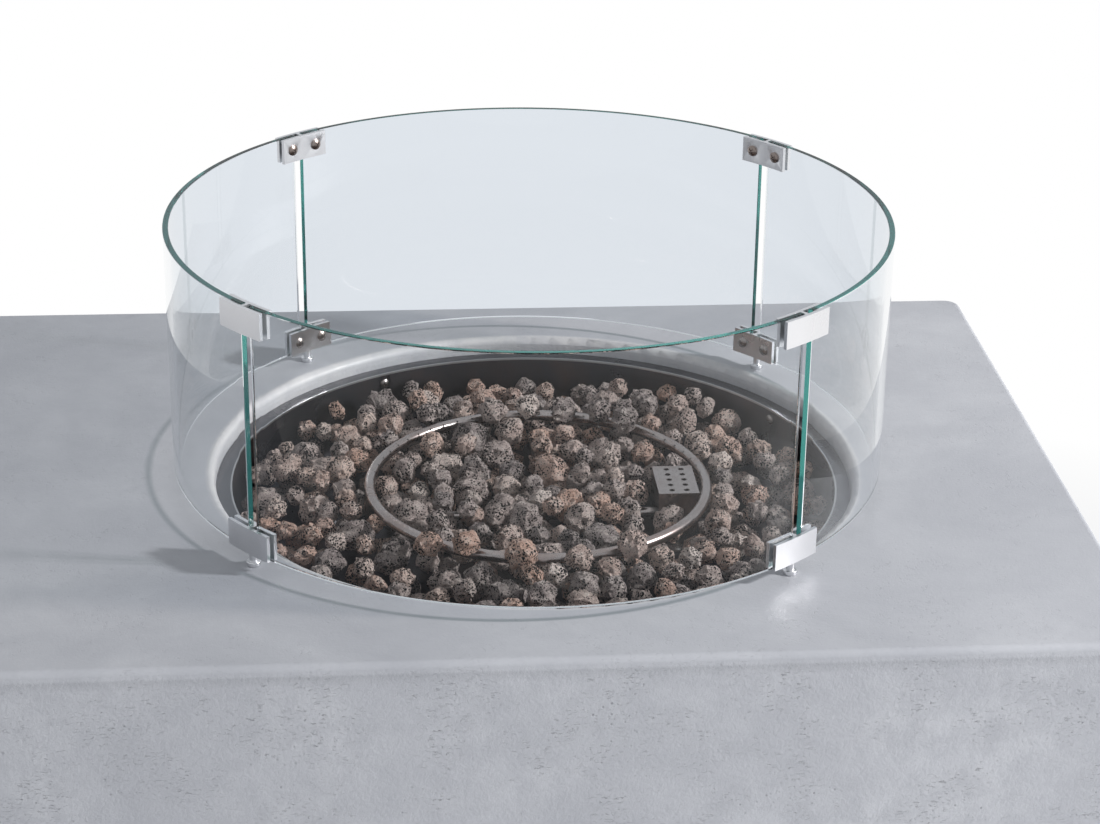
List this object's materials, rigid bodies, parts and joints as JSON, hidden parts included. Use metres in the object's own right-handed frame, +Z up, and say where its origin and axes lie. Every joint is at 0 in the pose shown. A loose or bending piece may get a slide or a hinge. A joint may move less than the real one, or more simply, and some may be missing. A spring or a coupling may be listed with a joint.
{
  "type": "fire pit table",
  "caption": "Rectangular cast concrete gas fire pit table with an off-centre round burner, lava rock and a loose round glass wind guard.",
  "frame": {"origin": "on the floor under the middle of the table", "axes": "+X to the right along the table, towards the end with the knob; +Y away from the viewer; +Z up"},
  "size_m": [1.22, 0.712, 0.83],
  "materials": {
    "cast_concrete": "smooth sealed cast concrete",
    "black_steel": "black powder coat",
    "dark_steel": "dark heat-stained steel",
    "stainless": "brushed",
    "zinc_steel": "zinc plated",
    "aluminium": "satin anodised",
    "clear_glass": "clear tempered, ground edges",
    "lava_rock": "porous volcanic rock",
    "black_rubber": "matte",
    "brass_fitting": "machined",
    "spring_steel": "bright wire",
    "black_plastic": "fine texture",
    "ceramic_white": "matte",
    "soft_pad": "translucent silicone"
  },
  "bodies": {
    "table": {"concrete_body": "cast_concrete", "base_frame": "black_steel", "rubber_feet": "black_rubber", "body_brackets": "zinc_steel", "bracket_bolts": "zinc_steel", "tank_tray": "black_steel", "tank_ring": "black_steel", "partition_plate": "zinc_steel", "hose_grommet": "black_rubber", "door_frame": "black_steel", "door_hinges_frame": "black_steel", "hinge_pins": "zinc_steel", "door_magnet": "black_plastic", "burner_pan": "dark_steel", "pan_screws": "stainless", "pan_clips": "zinc_steel", "burner_ring": "stainless", "burner_locknut": "zinc_steel", "air_mixer": "brass_fitting", "inlet_elbow": "brass_fitting", "igniter_cover": "stainless", "cover_screws": "stainless", "spark_electrode": "ceramic_white", "thermocouple": "stainless", "sensor_bracket": "stainless", "heat_shield": "zinc_steel", "shield_spacers": "zinc_steel", "lava_rocks": "lava_rock", "control_panel": "stainless", "panel_screws": "stainless", "valve_body": "brass_fitting", "valve_nut": "zinc_steel", "gas_inlet": "brass_fitting", "igniter_box": "black_plastic", "igniter_nut": "black_plastic", "button_spring": "spring_steel", "hose_nuts": "brass_fitting", "supply_hose": "black_rubber", "igniter_lead": "black_rubber", "thermocouple_lead": "stainless"},
    "door": {"access_door": "black_steel", "door_handle": "stainless", "door_hinges_door": "black_steel", "door_screws": "stainless", "door_strike": "zinc_steel"},
    "tap_plug": {"valve_plug": "brass_fitting", "stem_spring": "spring_steel"},
    "knob_and_stem": {"valve_stem": "stainless", "control_knob": "black_plastic"},
    "button": {"igniter_button": "black_plastic"},
    "wind_guard": {"glass_panel_front": "clear_glass", "glass_panel_right": "clear_glass", "glass_panel_back": "clear_glass", "glass_panel_left": "clear_glass", "top_clamps": "aluminium", "bottom_clamps": "aluminium", "clamp_screws": "stainless", "clamp_pads": "soft_pad", "guard_feet": "aluminium"}
  },
  "joints": [
    {"name": "door_swing", "type": "hinge", "parent": "table", "child": "door", "pos_m": [-0.5895, 0.2085, 0.314], "axis": [0, 0, -1], "range_deg": [0, 110]},
    {"name": "tap_turn", "type": "hinge", "parent": "table", "child": "tap_plug", "pos_m": [0.54, -0.045, 0.455], "axis": [1, 0, 0], "range_deg": [0, 210]},
    {"name": "knob_press", "type": "slide", "parent": "tap_plug", "child": "knob_and_stem", "axis": [-1, 0, 0], "range_m": [0, 0.0035], "stiffness_N_per_m": 900, "springref_m": -0.002, "deforming": ["stem_spring"]},
    {"name": "igniter_press", "type": "slide", "parent": "table", "child": "button", "axis": [-1, 0, 0], "range_m": [0, 0.005], "stiffness_N_per_m": 900, "springref_m": -0.002, "deforming": ["button_spring"]},
    {"name": "guard_lift", "type": "slide", "parent": "table", "child": "wind_guard", "axis": [0, 0, 1], "range_m": [0, 0.25]}
  ]
}
